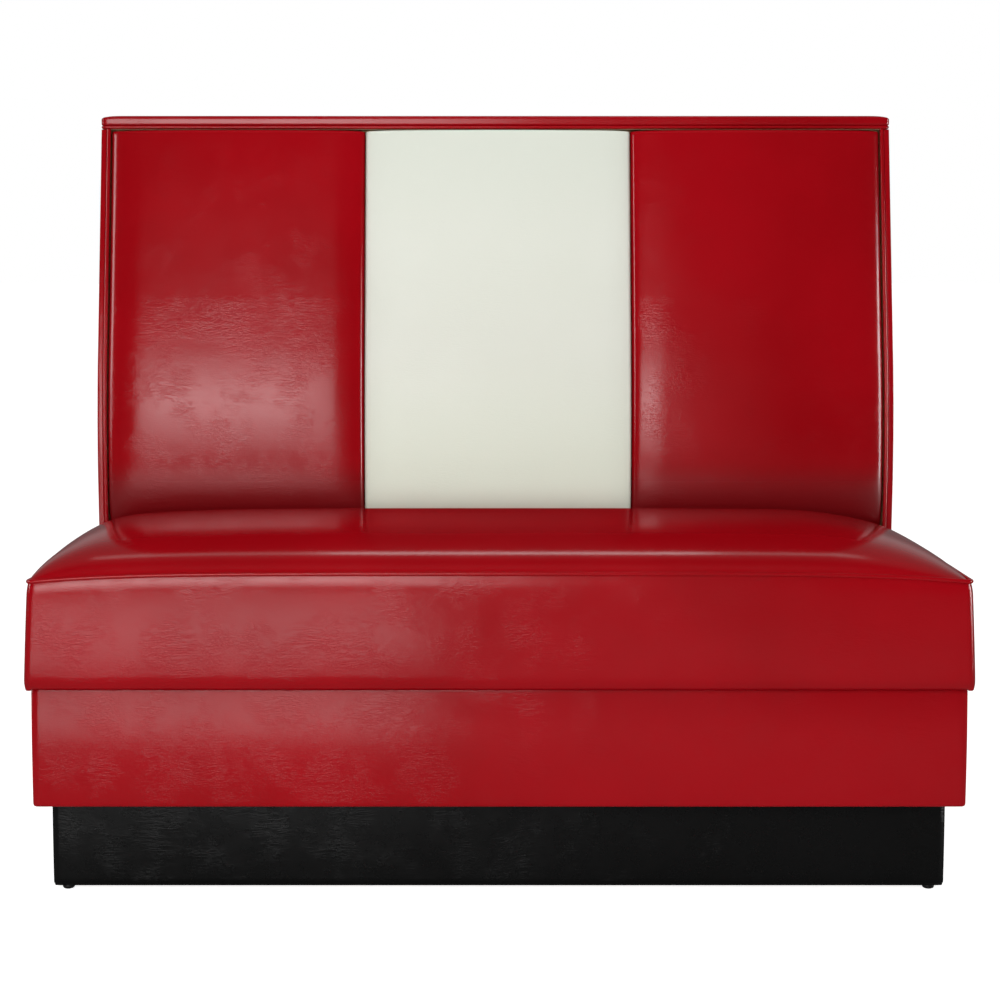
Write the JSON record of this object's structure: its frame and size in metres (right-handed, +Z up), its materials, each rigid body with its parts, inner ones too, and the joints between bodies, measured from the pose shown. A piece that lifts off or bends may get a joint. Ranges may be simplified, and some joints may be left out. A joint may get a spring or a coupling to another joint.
{
  "type": "diner booth bench",
  "caption": "Single-sided restaurant booth bench: padded vertical-channel back under a welted cap, crowned lift-out seat on zigzag springs, skirted box and recessed toe-kick base.",
  "frame": {"origin": "on the floor, in the middle of the width and of the depth", "axes": "+X along the bench to the sitter's left, +Y from the seat front to the wall, +Z up"},
  "size_m": [1.219, 0.635, 1.0589],
  "materials": {
    "red_vinyl": "satin",
    "white_vinyl": "satin",
    "black_vinyl": "satin",
    "foam": "matte",
    "felt": "matte",
    "dust_cloth": "matte",
    "pine": "sawn",
    "plywood": "sanded",
    "spring_steel": "oiled",
    "glide_steel": "gloss"
  },
  "bodies": {
    "frame": {"bottom_front_rail": "pine", "bottom_rear_rail": "pine", "cap_board": "plywood", "cap_pad": "red_vinyl", "cap_welt": "red_vinyl", "centre_channel_board": "plywood", "centre_channel_cover": "white_vinyl", "centre_channel_foam": "foam", "front_seat_rail": "pine", "glides": "glide_steel", "left_bottom_cleat": "pine", "left_channel_board": "plywood", "left_channel_cover": "red_vinyl", "left_channel_foam": "foam", "left_end_cover": "red_vinyl", "left_end_panel": "plywood", "left_end_rib": "pine", "left_end_welt": "red_vinyl", "left_seam_rib": "pine", "lumbar_rail": "pine", "middle_back_rail": "pine", "outside_back_cover": "red_vinyl", "outside_back_panel": "plywood", "right_bottom_cleat": "pine", "right_channel_board": "plywood", "right_channel_cover": "red_vinyl", "right_channel_foam": "foam", "right_end_cover": "red_vinyl", "right_end_panel": "plywood", "right_end_rib": "pine", "right_end_welt": "red_vinyl", "right_seam_rib": "pine", "seat_ledger": "pine", "skirt_board": "plywood", "skirt_cover": "red_vinyl", "toe_kick_blocks": "pine", "toe_kick_cover": "black_vinyl", "toe_kick_front": "pine", "toe_kick_left": "pine", "toe_kick_rear": "pine", "toe_kick_right": "pine", "top_back_rail": "pine"},
    "seat": {"seat_corner_blocks": "pine", "seat_cover": "red_vinyl", "seat_dust_cover": "dust_cloth", "seat_foam": "foam", "seat_front_rail": "pine", "seat_left_rail": "pine", "seat_locating_blocks": "pine", "seat_rear_rail": "pine", "seat_right_rail": "pine", "seat_welt": "red_vinyl", "spring_clips": "spring_steel", "spring_pad": "felt", "zigzag_springs": "spring_steel"}
  },
  "joints": [
    {"name": "seat_lift", "type": "slide", "parent": "frame", "child": "seat", "axis": [0, -0.5736, 0.8192], "range_m": [0, 0.35]}
  ]
}
